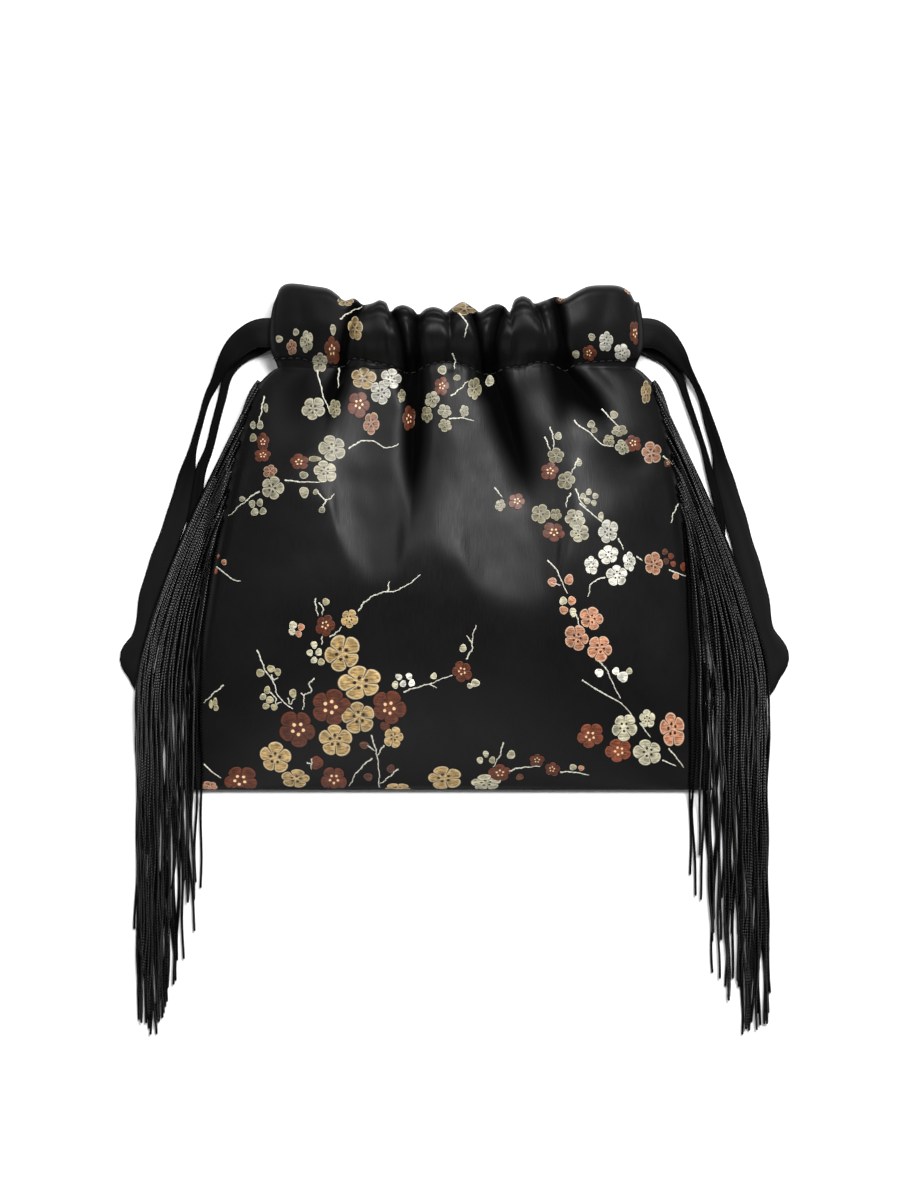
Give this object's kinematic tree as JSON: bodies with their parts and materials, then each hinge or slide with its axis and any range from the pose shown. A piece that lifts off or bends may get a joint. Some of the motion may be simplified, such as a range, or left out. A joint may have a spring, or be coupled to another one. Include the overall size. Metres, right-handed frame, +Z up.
{
  "type": "drawstring pouch",
  "caption": "Soft brocade drawstring pouch lying on its back, with a gathered casing, satin strap loops at both sides and long cord fringes in the side seams.",
  "frame": {"origin": "on the table, under the middle of the pouch and its fringes, the drawstrings left out", "axes": "+Y from the closed bottom edge to the gathered mouth, +Z up out of the front panel, +X to the right seen from above"},
  "size_m": [0.2996, 0.338, 0.0389],
  "materials": {
    "brocade": "black satin ground with woven blossoms",
    "strap_satin": "black satin",
    "fringe_cord": "twisted black cord"
  },
  "bodies": {
    "root": {"front_panel": "brocade", "back_panel": "brocade", "drawstring_left": "strap_satin", "drawstring_right": "strap_satin", "fringe_left": "fringe_cord", "fringe_right": "fringe_cord"}
  },
  "joints": []
}
